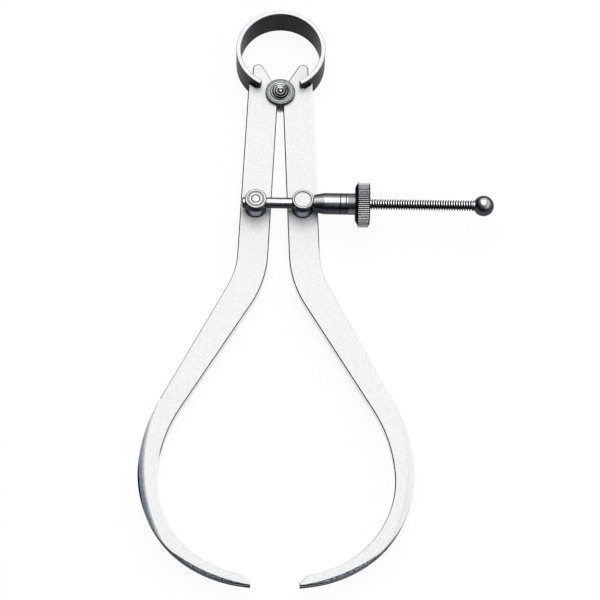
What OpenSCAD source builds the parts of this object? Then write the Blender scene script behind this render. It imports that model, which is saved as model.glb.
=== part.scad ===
// Outside spring caliper. Two bowed legs of flat steel roll on a fulcrum stud, a bow spring
// pushes them open, and a screw with a knurled nut holds the opening that is set.
// The caliper lies on its back: +Y runs from the tips to the bow spring, +Z is up.

/* [Legs] */
// Fulcrum axis to the tips
leg_reach = 150; // [144:1:160]
// Thickness of the flat steel
leg_t = 3; // [2.4:0.1:3.6]
// Width of the straight shank
shank_w = 8.7; // [8.2:0.1:9.6]
// Gap between the two shanks when the tips meet
shank_gap = 1.3; // [0.8:0.1:1.8]
// Elbow radius, at the middle of the leg's width
elbow_r = 28.5; // [23:0.5:34]
// Turn of the elbow, in degrees
elbow_turn = 26.6; // [25:0.2:29]
// Radius of the slow curve above the jaw
cheek_r = 45; // [38:1:52]
// Turn of the slow curve, in degrees
cheek_turn = 24.8; // [21:0.2:28]
// Radius of the round jaw
jaw_r = 30; // [28:0.5:32]
// Turn of the round jaw, in degrees
jaw_turn = 86; // [84:0.5:89]
// Straight run behind the tip
tip_run = 3; // [2.8:0.1:4]
// Width where the slow curve starts
cheek_w = 6.3; // [5.9:0.1:7]
// Width where the round jaw starts
jaw_w = 5.5; // [5:0.1:6]
// Width of the tip before its end is cut
tip_w = 2.5; // [2.2:0.1:3]
// Length of the slanting cut at the tip
tip_cut = 2.4; // [2:0.1:2.8]
// Flat left at the very end of the tip
tip_flat = 0.6; // [0.4:0.1:1]
// Swing of each leg from tips touching to the pose shown, in degrees
open_swing = 2.52; // [1:0.02:6]

/* [Ground bevel on the jaws] */
// Width of the bevel at its middle, seen from the front
bevel_w = 1.75; // [1.4:0.05:2.1]
// Drop of the bevel over that width
bevel_drop = 0.75; // [0.5:0.05:1]
// Radius that the bevel is ground to
bevel_r = 49; // [47:1:53]
// Distance of the bevel's middle above the widest point of the jaw
bevel_rise = 4; // [3:0.5:5]
// Width of the second bevel, behind the tip, at its middle
tip_bevel_w = 0.75; // [0.6:0.05:0.9]
// Drop of the second bevel over that width
tip_bevel_drop = 0.5; // [0.3:0.05:0.7]
// Radius that the second bevel is ground to
tip_bevel_r = 48; // [44:1:54]
// Distance of the second bevel's middle from the end of the tip, along the edge
tip_bevel_back = 10; // [8:0.5:12]

/* [Leg heads] */
// Fulcrum axis to the middle of the horn's round end
horn_reach = 10.3; // [9.6:0.1:10.8]
// Lean of that line away from the leg, in degrees
horn_lean = 41.6; // [38:0.2:44]
// Radius of the horn's round end
horn_r = 1.55; // [1.3:0.05:1.8]

/* [Bow spring] */
// Outside diameter of the bow
bow_d = 25.9; // [25:0.1:27]
// Thickness of the spring strip
bow_t = 1.3; // [1:0.05:1.5]
// Width of the spring strip
bow_w = 9.6; // [9:0.1:11]
// Height of the bow's centre over the fulcrum axis
bow_rise = 12.8; // [12.5:0.1:13.2]
// Open angle of the bow at its foot, either side of the middle, in degrees
bow_mouth = 27.5; // [26:0.5:29]
// Depth of the fork that straddles the leg at each end of the strip
fork_depth = 1.2; // [1:0.1:1.5]

/* [Fulcrum stud] */
// Diameter of the stud between its flanges
core_d = 5.2; // [4.6:0.1:5.6]
// Diameter of the flanges
flange_d = 8.5; // [8:0.1:9]
// Thickness of a flange at its rim
flange_t = 1; // [0.8:0.1:1.2]
// Diameter of the first raised ring on the flange
ring_d = 5.3; // [5:0.1:5.6]
// Diameter of the second raised ring
inner_ring_d = 3.9; // [3.6:0.1:4.2]
// Diameter of the middle boss
boss_d = 2.5; // [2.2:0.1:2.8]
// Height of each step on the flange
ring_step = 0.2; // [0.15:0.05:0.3]
// Diameter of the pip on the boss
pip_d = 0.9; // [0.7:0.1:1.2]

/* [Swivel posts] */
// Fulcrum axis to the post holes, along the shank
post_drop = 37.5; // [35:0.5:40]
// Diameter of the posts
post_d = 6.2; // [5.8:0.1:6.6]
// Height of the posts over the leg
post_h = 5.9; // [5.6:0.1:6.4]
// Chamfer on the heads of the posts
post_chamfer = 0.3; // [0.2:0.05:0.4]
// Diameter of the neck that turns in the leg
neck_d = 4.4; // [4:0.1:4.8]
// Diameter of the washers behind the legs
washer_d = 6.8; // [6.4:0.1:7.4]
// Thickness of the washers
washer_t = 0.6; // [0.5:0.1:0.8]
// Diameter of the riveted tail on the washer
tail_d = 5.6; // [5.2:0.1:6]
// Height of the riveted tail
tail_h = 0.8; // [0.6:0.1:1]
// Diameter of the dish in the guide post's head
dish_d = 5.1; // [4.8:0.1:5.3]
// Depth of the dish
dish_depth = 0.2; // [0.1:0.05:0.3]
// Middle diameter of the groove in the anchor post's head
groove_d = 4.6; // [4.3:0.1:4.8]
// Width and depth of that groove
groove_w = 0.25; // [0.15:0.05:0.35]
// Diameter of the lock pin
lock_pin_d = 2.6; // [2.2:0.1:3]

/* [Adjusting screw] */
// Diameter of the screw over its thread
screw_d = 3.1; // [2.8:0.05:3.3]
// Height of the screw's axis over the leg
screw_rise = 3.25; // [3.2:0.05:3.4]
// Length of the screw's end beyond the anchor post
screw_tail = 0.75; // [0.5:0.05:1.5]
// Middle of the anchor post to the middle of the ball
ball_reach = 64.5; // [60:0.5:70]
// Diameter of the ball
ball_d = 5.9; // [5.4:0.1:6.4]

/* [Nut] */
// Diameter of the sleeve and of the nut's hub
sleeve_d = 6.1; // [5.8:0.05:6.2]
// Length of the sleeve
sleeve_len = 9.7; // [9:0.1:10.5]
// Diameter of the sleeve's nose
nose_d = 5; // [4.6:0.1:5.4]
// Length of the taper behind the nose
nose_len = 2.9; // [2.4:0.1:3.4]
// Length of the nut's hub
hub_len = 1.9; // [1.6:0.1:2.4]
// Diameter of the knurled rim
nut_d = 13.2; // [12.4:0.1:14]
// Width of the knurled rim with its shoulders
nut_w = 4.1; // [3.6:0.1:4.6]
// Width of the sloping shoulder on the sleeve's side
shoulder_w = 0.8; // [0.6:0.05:1]
// Height of that shoulder
shoulder_h = 1.4; // [1:0.1:1.8]
// Height and width of the shoulder on the far side
nut_chamfer = 0.35; // [0.25:0.05:0.45]
// Number of knurl teeth
knurl_count = 72; // [64:1:80]
// Depth of the knurl
knurl_depth = 0.3; // [0.2:0.05:0.4]

/* [Clearances] */
// Radial clearance of parts that turn or slide
run_gap = 0.05; // [0.03:0.01:0.08]
// Clearance between faces that slide on each other
face_gap = 0.06; // [0.04:0.01:0.1]
// Radial clearance of parts that stay put
seat_gap = 0.02; // [0.01:0.01:0.04]
// Clearance of the spring strip in the leg's notch and fork
notch_gap = 0.15; // [0.1:0.05:0.25]

/* [Hidden] */
$fn = 96;
over = 0.5; // how far a cut runs past the faces it opens

// A leg is drawn for touching tips: its heading is measured outward from straight down.
function heading(a) = [sin(a), -cos(a)];
function outward(a) = [cos(a), sin(a)];
function turned(p, a) = [p.x * cos(a) - p.y * sin(a), p.x * sin(a) + p.y * cos(a)];
function mix(a, b, f) = a + (b - a) * f;

leg_face = leg_t / 2;
shank_x = (shank_gap + shank_w) / 2;
jaw_start = elbow_turn - cheek_turn;
tip_heading = jaw_start - jaw_turn;

// The two straight runs close the leg's path on the tip, which lies on the middle plane.
curve_span = elbow_r * (outward(0) - outward(elbow_turn))
           + cheek_r * (outward(jaw_start) - outward(elbow_turn))
           + jaw_r * (outward(tip_heading) - outward(jaw_start))
           + tip_run * heading(tip_heading) + tip_w / 2 * outward(tip_heading);
slope_len = -(shank_x + curve_span.x) / sin(elbow_turn);
shank_len = leg_reach + curve_span.y - slope_len * cos(elbow_turn);

elbow_c = [shank_x, -shank_len] + elbow_r * outward(0);
slope_end = elbow_c - elbow_r * outward(elbow_turn) + slope_len * heading(elbow_turn);
cheek_c = slope_end - cheek_r * outward(elbow_turn);
jaw_c = cheek_c + (cheek_r - jaw_r) * outward(jaw_start);
leg_end = jaw_c + jaw_r * outward(tip_heading) + tip_run * heading(tip_heading);

elbow_steps = 10;
cheek_steps = 8;
jaw_steps = 32;
// Share of the jaw's taper that is used up where its straight tip begins
jaw_arc = jaw_r * jaw_turn * PI / 180;
jaw_share = jaw_arc / (jaw_arc + tip_run);
function jaw_width(f) = mix(jaw_w, tip_w, f * jaw_share);

// One edge of the leg from the elbow to the end of the jaw's curve, s = 1 outside, -1 inside
function leg_edge(s) = concat(
    [for (i = [0 : elbow_steps])
        let (a = elbow_turn * i / elbow_steps)
        elbow_c + (s * shank_w / 2 - elbow_r) * outward(a)],
    [for (i = [0 : cheek_steps])
        let (f = i / cheek_steps, a = elbow_turn - cheek_turn * f)
        cheek_c + (cheek_r + s * mix(cheek_w, jaw_w, f) / 2) * outward(a)],
    [for (i = [1 : jaw_steps])
        let (f = i / jaw_steps, a = jaw_start - jaw_turn * f)
        jaw_c + (jaw_r + s * jaw_width(f) / 2) * outward(a)]);

tip_corner = leg_end + tip_w / 2 * outward(tip_heading);
tip_end = [
    tip_corner,
    tip_corner - tip_flat * outward(tip_heading),
    leg_end - tip_cut * heading(tip_heading) - tip_w / 2 * outward(tip_heading)];

// The horn's inner side is a line from the fulcrum axis that touches its round end.
horn_c = horn_reach * [sin(horn_lean), cos(horn_lean)];
vee_angle = horn_lean - asin(horn_r / horn_reach);
shank_inner = shank_gap / 2;
shank_outer = shank_inner + shank_w;
bow_mid_r = (bow_d - bow_t) / 2;
bow_c_closed = turned([0, bow_rise], -open_swing);
function strip_y(x) = bow_c_closed.y - sqrt(bow_mid_r * bow_mid_r - pow(x - bow_c_closed.x, 2));
horn_steps = 16;
leg_head = concat(
    [[shank_inner, shank_inner / tan(vee_angle)]],
    [for (i = [0 : horn_steps])
        let (a = (180 - vee_angle) * (1 - i / horn_steps))
        horn_c + horn_r * [cos(a), sin(a)]],
    [[horn_c.x + horn_r, strip_y(horn_c.x + horn_r)],
     [shank_outer, strip_y(shank_outer)]]);

leg_inside = leg_edge(-1);
leg_outline = concat(
    leg_edge(1), tip_end, [for (i = [len(leg_inside) - 1 : -1 : 0]) leg_inside[i]], leg_head);

// Places in the pose shown, with the fulcrum axis at the origin and the legs' middle plane at z = 0
post_at = turned([shank_x, -post_drop], open_swing);
screw_z = leg_face + screw_rise;
post_top = leg_face + post_h;
washer_z = -leg_face - face_gap - washer_t;
sleeve_x = post_at.x + post_d / 2 + face_gap;
nut_x = sleeve_x + sleeve_len + face_gap;
ball_x = ball_reach - post_at.x;
screw_start = -post_at.x - post_d / 2 - screw_tail;

// The origin is under the middle of the whole caliper, on the plane of the bow's rear edge.
shown_outline = [for (p = leg_outline) turned(p, open_swing)];
side_reach = max([for (p = shown_outline) p.x]);
foot_reach = min([for (p = shown_outline) p.y]);
origin_shift = [
    (side_reach - ball_x - ball_d / 2) / 2,
    -(foot_reach + bow_rise + bow_d / 2) / 2,
    bow_w / 2];

module shown() {
    translate(origin_shift) children();
}

module along_x(x, z) {
    translate([x, post_at.y, z]) rotate([0, 90, 0]) children();
}

// Bevel ground to a radius on the front face, as a run of narrow flats from one turn to another
module ground_bevel(width, drop, radius, first, last) {
    fall = atan(drop / width);
    flat_step = 4;
    flat_l = 4 * radius * tan(flat_step / 2);
    translate([-width - radius, 0, leg_face])
        for (a = [first : flat_step : last])
            rotate(a)
                translate([radius, 0, 0])
                    rotate([0, fall, 0])
                        translate([-width, -flat_l / 2, 0])
                            cube([3 * width, flat_l, leg_t]);
}

module jaw_bevel() {
    widest = jaw_c + (jaw_r + jaw_w / 2) * outward(0);
    translate([widest.x, widest.y + bevel_rise, 0])
        ground_bevel(bevel_w, bevel_drop, bevel_r, -32, 16);
}

module tip_bevel() {
    back_turn = (tip_bevel_back - tip_run) / jaw_r * 180 / PI;
    edge_r = jaw_r + jaw_width(1 - back_turn / jaw_turn) / 2;
    translate([jaw_c.x, jaw_c.y, 0])
        rotate(tip_heading + back_turn)
            translate([edge_r, 0, 0])
                ground_bevel(tip_bevel_w, tip_bevel_drop, tip_bevel_r, -12, 12);
}

// The ground bevels on one face of a leg
module face_bevels() {
    jaw_bevel();
    tip_bevel();
}

// A leg as cut from flat steel, drawn for touching tips on the +X side
module leg_blank() {
    difference() {
        translate([0, 0, -leg_face]) linear_extrude(leg_t) polygon(leg_outline);
        translate([0, 0, -leg_face - over]) cylinder(d = core_d + 2 * run_gap, h = leg_t + 2 * over);
        translate([shank_x, -post_drop, -leg_face - over])
            cylinder(d = neck_d + 2 * run_gap, h = leg_t + 2 * over);
        face_bevels();
        mirror([0, 0, 1]) face_bevels();
    }
}

// Notch in a leg's head, along the bow, where the end of the strip goes in
module bow_notch() {
    floor_angle = bow_mouth + (fork_depth - notch_gap) / bow_mid_r * 180 / PI;
    notch_sweep = 45;
    translate([0, bow_rise, -leg_face - over])
        rotate(floor_angle - 90)
            rotate_extrude(angle = notch_sweep)
                translate([bow_d / 2 - bow_t - notch_gap, 0])
                    square([bow_t + 2 * notch_gap, leg_t + 2 * over]);
}

module leg() {
    difference() {
        rotate(open_swing) leg_blank();
        bow_notch();
    }
}

module right_leg() {
    color("gainsboro") shown() leg();
}

module left_leg() {
    color("gainsboro") shown() mirror([1, 0, 0]) leg();
}

// Fork in the +X end of the strip
module strip_fork() {
    fork_w = leg_t + 2 * notch_gap;
    fork_angle = fork_depth / bow_mid_r * 180 / PI;
    translate([0, 0, -fork_w / 2])
        rotate(bow_mouth - 90 - fork_angle)
            rotate_extrude(angle = 2 * fork_angle)
                translate([bow_d / 2 - bow_t - over, 0])
                    square([bow_t + 2 * over, fork_w]);
}

module bow_spring() {
    color("dimgray") shown() translate([0, bow_rise, 0])
        difference() {
            rotate(bow_mouth - 90)
                rotate_extrude(angle = 360 - 2 * bow_mouth, $fn = 180)
                    translate([bow_d / 2 - bow_t, -bow_w / 2])
                        square([bow_t, bow_w]);
            strip_fork();
            mirror([1, 0, 0]) strip_fork();
        }
}

// Half of the stud, from the legs' middle plane to the turned rings on the flange
module half_stud() {
    inner_face = leg_face + face_gap;
    rim_face = inner_face + flange_t;
    rotate_extrude()
        polygon([
            [0, 0],
            [core_d / 2, 0],
            [core_d / 2, inner_face],
            [flange_d / 2, inner_face],
            [flange_d / 2, rim_face - ring_step],
            [flange_d / 2 - ring_step, rim_face],
            [ring_d / 2 + ring_step, rim_face],
            [ring_d / 2, rim_face + ring_step],
            [inner_ring_d / 2 + ring_step, rim_face],
            [inner_ring_d / 2, rim_face + 2 * ring_step],
            [boss_d / 2 + ring_step, rim_face + ring_step],
            [boss_d / 2, rim_face + 3 * ring_step],
            [pip_d / 2 + ring_step, rim_face + 2 * ring_step],
            [pip_d / 2, rim_face + 3 * ring_step],
            [0, rim_face + 4 * ring_step]]);
}

module fulcrum_stud() {
    color("slategray") shown() {
        half_stud();
        mirror([0, 0, 1]) half_stud();
    }
}

// Post with its neck and riveted tail, before its head and its bore are cut
module post_blank() {
    rotate_extrude()
        polygon([
            [0, washer_z - tail_h],
            [tail_d / 2 - tail_h, washer_z - tail_h],
            [tail_d / 2, washer_z - tail_h / 2],
            [tail_d / 2, washer_z],
            [neck_d / 2, washer_z],
            [neck_d / 2, leg_face + face_gap],
            [post_d / 2, leg_face + face_gap],
            [post_d / 2, post_top - post_chamfer],
            [post_d / 2 - post_chamfer, post_top],
            [0, post_top]]);
}

module anchor_post() {
    color("silver") shown()
        difference() {
            translate([-post_at.x, post_at.y, 0]) post_blank();
            along_x(-post_at.x - post_d / 2 - over, screw_z)
                cylinder(d = screw_d + 2 * seat_gap, h = post_d + 2 * over);
            translate([-post_at.x, post_at.y, screw_z])
                cylinder(d = lock_pin_d + 2 * seat_gap, h = post_h);
            translate([-post_at.x, post_at.y, post_top - groove_w])
                difference() {
                    cylinder(d = groove_d + groove_w, h = groove_w + over);
                    cylinder(d = groove_d - groove_w, h = groove_w + over);
                }
        }
}

module screw_lock_pin() {
    pin_base = screw_z + screw_d / 2 + seat_gap;
    color("silver") shown()
        translate([-post_at.x, post_at.y, 0])
            rotate_extrude()
                polygon([
                    [0, pin_base],
                    [lock_pin_d / 2, pin_base],
                    [lock_pin_d / 2, post_top - post_chamfer],
                    [lock_pin_d / 2 - post_chamfer, post_top],
                    [0, post_top]]);
}

module guide_post() {
    color("silver") shown()
        difference() {
            translate([post_at.x, post_at.y, 0]) post_blank();
            along_x(post_at.x - post_d / 2 - over, screw_z)
                cylinder(d = screw_d + 2 * run_gap, h = post_d + 2 * over);
            translate([post_at.x, post_at.y, post_top - dish_depth])
                cylinder(d1 = dish_d - 2 * dish_depth, d2 = dish_d, h = dish_depth + seat_gap);
        }
}

module washer(x) {
    translate([x, post_at.y, washer_z])
        difference() {
            cylinder(d = washer_d, h = washer_t);
            translate([0, 0, -over]) cylinder(d = neck_d + 2 * seat_gap, h = washer_t + 2 * over);
        }
}

module anchor_washer() {
    color("silver") shown() washer(-post_at.x);
}

module guide_washer() {
    color("silver") shown() washer(post_at.x);
}

module adjusting_screw() {
    end_chamfer = screw_d / 6;
    color("dimgray") shown() {
        along_x(screw_start, screw_z)
            rotate_extrude()
                polygon([
                    [0, 0],
                    [screw_d / 2 - end_chamfer, 0],
                    [screw_d / 2, end_chamfer],
                    [screw_d / 2, ball_x - screw_start],
                    [0, ball_x - screw_start]]);
        along_x(ball_x, screw_z) sphere(d = ball_d);
    }
}

module nut_sleeve() {
    bore_r = screw_d / 2 + run_gap;
    color("dimgray") shown()
        along_x(sleeve_x, screw_z)
            rotate_extrude()
                polygon([
                    [bore_r, 0],
                    [nose_d / 2, 0],
                    [sleeve_d / 2, nose_len],
                    [sleeve_d / 2, sleeve_len],
                    [bore_r, sleeve_len]]);
}

// Rim with straight knurl teeth between two sloping shoulders
module knurled_rim() {
    tip_r = nut_d / 2;
    root_r = tip_r - knurl_depth;
    shoulder_r = root_r - knurl_depth / 3;
    tooth = 360 / knurl_count;
    translate([0, 0, shoulder_w])
        linear_extrude(nut_w - shoulder_w - nut_chamfer)
            polygon([for (i = [0 : 2 * knurl_count - 1])
                let (r = i % 2 == 0 ? tip_r : root_r)
                r * outward(i * tooth / 2)]);
    cylinder(r1 = shoulder_r - shoulder_h, r2 = shoulder_r, h = shoulder_w);
    translate([0, 0, nut_w - nut_chamfer])
        cylinder(r1 = shoulder_r, r2 = shoulder_r - nut_chamfer, h = nut_chamfer);
}

module adjusting_nut() {
    color("gray") shown()
        along_x(nut_x, screw_z)
            difference() {
                union() {
                    cylinder(d = sleeve_d, h = hub_len);
                    translate([0, 0, hub_len]) knurled_rim();
                }
                translate([0, 0, -over])
                    cylinder(d = screw_d + 2 * run_gap, h = hub_len + nut_w + 2 * over);
            }
}

left_leg();
right_leg();
bow_spring();
fulcrum_stud();
anchor_post();
screw_lock_pin();
guide_post();
anchor_washer();
guide_washer();
adjusting_screw();
nut_sleeve();
adjusting_nut();
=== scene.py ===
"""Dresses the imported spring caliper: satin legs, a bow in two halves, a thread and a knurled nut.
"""

import logging
import math
from contextlib import contextmanager
from dataclasses import dataclass, field
from enum import Enum
from typing import Any, Callable, Iterator

import bmesh
import bpy
from mathutils import Matrix, Vector


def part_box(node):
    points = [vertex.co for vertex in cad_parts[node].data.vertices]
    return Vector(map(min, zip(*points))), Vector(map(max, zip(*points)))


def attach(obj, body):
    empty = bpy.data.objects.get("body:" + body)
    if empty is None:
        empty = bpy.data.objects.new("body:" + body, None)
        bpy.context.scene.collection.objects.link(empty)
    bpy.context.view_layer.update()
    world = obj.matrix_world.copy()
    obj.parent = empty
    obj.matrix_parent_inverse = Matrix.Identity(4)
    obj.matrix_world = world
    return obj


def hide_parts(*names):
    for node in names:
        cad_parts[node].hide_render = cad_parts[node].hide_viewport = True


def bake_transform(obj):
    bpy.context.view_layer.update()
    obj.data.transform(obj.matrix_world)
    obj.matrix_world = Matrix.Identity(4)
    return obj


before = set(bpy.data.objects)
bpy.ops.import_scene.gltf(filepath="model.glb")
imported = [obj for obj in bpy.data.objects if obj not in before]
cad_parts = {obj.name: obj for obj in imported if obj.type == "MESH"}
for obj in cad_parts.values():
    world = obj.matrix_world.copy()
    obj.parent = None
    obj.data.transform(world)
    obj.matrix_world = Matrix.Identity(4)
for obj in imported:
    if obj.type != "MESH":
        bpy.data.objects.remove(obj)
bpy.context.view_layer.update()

LOG = logging.getLogger("caliper")
MM = 0.001
WELD = 0.001 * MM
TOUCH = 0.01 * MM
NOISE_MEAN = 0.5
NOISE_ROUGHNESS = 0.6
GLOSS_WANDER = 0.16
FLAT_WEIGHT = 80
Span = tuple[float, float]
Triple = tuple[float, float, float]
Colour = Triple


class Side(Enum):
    """The two sides of the caliper, with their sign along X."""

    LEFT = -1
    RIGHT = 1

    @property
    def body(self) -> str:
        """The CAD body, and node, of the leg on this side."""
        return f"{self.name.lower()}_leg"


class Element(Enum):
    """What a selection in edit mode is made of."""

    VERTS = "VERT"
    EDGES = "EDGE"
    FACES = "FACE"


@dataclass(frozen=True)
class Grain:
    """A fractal noise: waves per metre, number of finer layers and scale of each axis."""

    scale: float
    detail: float
    stretch: Triple = (1, 1, 1)


class Value:
    """A shader value that adds Math nodes when it is used in an expression."""

    def __init__(self, graph: "Graph", socket: bpy.types.NodeSocket) -> None:
        """Wraps an output socket of a graph's node."""
        self.graph = graph
        self.socket = socket

    def __add__(self, other: "Value | float") -> "Value":
        """The sum."""
        return self.graph.math("ADD", self, other)

    def __radd__(self, other: float) -> "Value":
        """The sum, with a number first."""
        return self.graph.math("ADD", other, self)

    def __sub__(self, other: "Value | float") -> "Value":
        """The difference."""
        return self.graph.math("SUBTRACT", self, other)

    def __rsub__(self, other: float) -> "Value":
        """The difference from a number."""
        return self.graph.math("SUBTRACT", other, self)

    def __mul__(self, other: "Value | float") -> "Value":
        """The product."""
        return self.graph.math("MULTIPLY", self, other)

    def __rmul__(self, other: float) -> "Value":
        """The product, with a number first."""
        return self.graph.math("MULTIPLY", other, self)

    def __truediv__(self, other: "Value | float") -> "Value":
        """The quotient."""
        return self.graph.math("DIVIDE", self, other)

    def __pow__(self, other: float) -> "Value":
        """The power."""
        return self.graph.math("POWER", self, other)

    def __abs__(self) -> "Value":
        """The size without its sign."""
        return self.graph.math("ABSOLUTE", self)

    def hypot(self, other: "Value") -> "Value":
        """The distance that this value and another one make at a right angle."""
        return (self * self + other * other) ** 0.5

    def wave(self) -> "Value":
        """A sine wave between 0 and 1, of an angle in radians."""
        return self.graph.math("SINE", self) * 0.5 + 0.5

    def smooth(self, low: float, high: float) -> "Value":
        """A smooth rise from 0 at low to 1 at high.

        Args:
            low: Where the rise starts.
            high: Where it ends.

        Returns:
            The value of the rise.
        """
        made = self.graph.node(
            "ShaderNodeMapRange",
            {"interpolation_type": "SMOOTHSTEP"},
            {"Value": self, "From Min": low, "From Max": high},
        )
        return Value(self.graph, made.outputs["Result"])


class Graph:
    """A node tree that is written as Python expressions."""

    def __init__(self, tree: bpy.types.NodeTree) -> None:
        """Starts on an emptied node tree."""
        tree.nodes.clear()
        self.tree = tree

    def node(self, kind: str, settings: dict[str, Any], inputs: dict[Any, Any]) -> bpy.types.Node:
        """Adds a node.

        Args:
            kind: The node's type.
            settings: Its properties, which are set first.
            inputs: Values or links for its sockets, by name or number.

        Returns:
            The node.
        """
        made = self.tree.nodes.new(kind)
        for name, setting in settings.items():
            setattr(made, name, setting)
        for key, given in inputs.items():
            source = given.socket if isinstance(given, Value) else given
            if isinstance(source, bpy.types.NodeSocket):
                self.tree.links.new(source, made.inputs[key])
            else:
                made.inputs[key].default_value = source
        return made

    def math(self, operation: str, *terms: "Value | float") -> Value:
        """Adds a Math node.

        Args:
            operation: What it does.
            terms: Its one or two inputs.

        Returns:
            Its result.
        """
        made = self.node("ShaderNodeMath", {"operation": operation}, dict(enumerate(terms)))
        return Value(self, made.outputs[0])

    def mix(self, share: Value, low: Any, high: Any) -> bpy.types.NodeSocket:
        """Mixes two colours.

        Args:
            share: How much of the second one there is.
            low: The first colour, or a link to it.
            high: The second colour, or a link to it.

        Returns:
            The mixed colour.
        """
        ends = [c if isinstance(c, bpy.types.NodeSocket) else (*c, 1.0) for c in (low, high)]
        # A Mix node's colours are its inputs 6 and 7, and its output 2.
        made = self.node("ShaderNodeMix", {"data_type": "RGBA"}, {0: share, 6: ends[0], 7: ends[1]})
        return made.outputs[2]

    def parts(self, vector: bpy.types.NodeSocket) -> list[Value]:
        """The X, Y and Z of a vector."""
        made = self.node("ShaderNodeSeparateXYZ", {}, {0: vector})
        return [Value(self, out) for out in made.outputs]

    def place(self) -> bpy.types.NodeSocket:
        """Object coordinates, which are the row frame's, in metres."""
        return self.node("ShaderNodeTexCoord", {}, {}).outputs["Object"]

    def facing(self) -> list[Value]:
        """The X, Y and Z of the surface's direction, in the piece's own frame."""
        return self.parts(self.node("ShaderNodeTexCoord", {}, {}).outputs["Normal"])

    def noise(self, grain: Grain) -> Value:
        """Adds fractal noise on object coordinates.

        Args:
            grain: Its scale, layers and stretch.

        Returns:
            The noise, about NOISE_MEAN.
        """
        spread = self.node(
            "ShaderNodeVectorMath", {"operation": "MULTIPLY"}, {0: self.place(), 1: grain.stretch})
        made = self.node(
            "ShaderNodeTexNoise",
            {"noise_dimensions": "3D"},
            {"Vector": spread.outputs[0], "Scale": grain.scale, "Detail": grain.detail,
             "Roughness": NOISE_ROUGHNESS},
        )
        return Value(self, made.outputs[0])


@dataclass
class Surface:
    """What a finish feeds to its shader."""

    colour: Any
    metallic: "Value | float"
    roughness: "Value | float"
    height: Value
    depth: float
    rim: float = 1.0
    gleam: float = 0.5


class Finish:
    """A steel finish that is made into a material when it is first asked for."""

    name: str

    def surface(self, graph: Graph) -> Surface:
        """Adds the finish's own nodes."""
        raise NotImplementedError

    def material(self) -> bpy.types.Material:
        """Makes the finish's material, or finds it where it was made before.

        Returns:
            The material.
        """
        found = bpy.data.materials.get(self.name)
        if found:
            return found
        made = bpy.data.materials.new(self.name)
        made.use_nodes = True
        graph = Graph(made.node_tree)
        skin = self.surface(graph)
        bump = graph.node("ShaderNodeBump", {}, {"Distance": skin.depth, "Height": skin.height})
        shader = graph.node(
            "ShaderNodeBsdfPrincipled",
            {},
            {
                "Base Color": skin.colour,
                "Metallic": skin.metallic,
                "Roughness": skin.roughness,
                "Specular Tint": (skin.rim, skin.rim, skin.rim, 1),
                "Specular IOR Level": skin.gleam,
                "Normal": bump.outputs["Normal"],
            },
        )
        graph.node("ShaderNodeOutputMaterial", {}, {"Surface": shader.outputs["BSDF"]})
        return made

    def dress(self, *pieces: bpy.types.Object) -> None:
        """Puts the finish on pieces, in place of what they had.

        Args:
            pieces: What it goes on.
        """
        for piece in pieces:
            piece.data.materials.clear()
            piece.data.materials.append(self.material())


@dataclass(frozen=True)
class LegLighting:
    """The painted light that sets one leg apart from the other: the right leg lit from the right,
    the left in shade.
    """

    lit_side: float
    bevel_shade_share: float
    rim_shade_turn: Span
    bevel_grain_shade: Colour


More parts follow.
